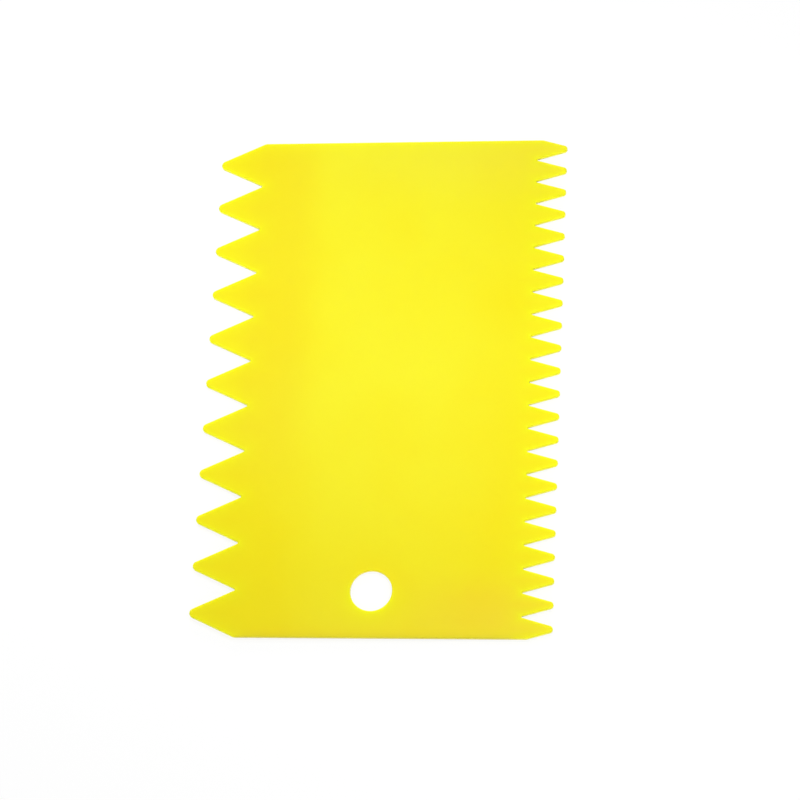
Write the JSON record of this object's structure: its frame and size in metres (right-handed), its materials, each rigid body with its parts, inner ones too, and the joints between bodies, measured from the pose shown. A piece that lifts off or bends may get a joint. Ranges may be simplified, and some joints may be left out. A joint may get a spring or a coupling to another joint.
{
  "type": "notched spreader",
  "caption": "Thin rectangular plastic spreader plate with coarse V teeth along one long side, fine teeth along the other, and a hanging hole near one end.",
  "frame": {"origin": "middle of the plate's back face, which is the centre of its outline at the surface it lies on", "axes": "+X across the plate from the coarse teeth to the fine teeth, +Y along the tooth rows away from the hanging hole, +Z out of the front face through the thickness"},
  "size_m": [0.0804, 0.12, 0.001],
  "materials": {
    "plate_plastic": "translucent yellow moulded polypropylene, satin, with fine use scratches"
  },
  "bodies": {
    "root": {"notched_plate": "plate_plastic"}
  },
  "joints": []
}
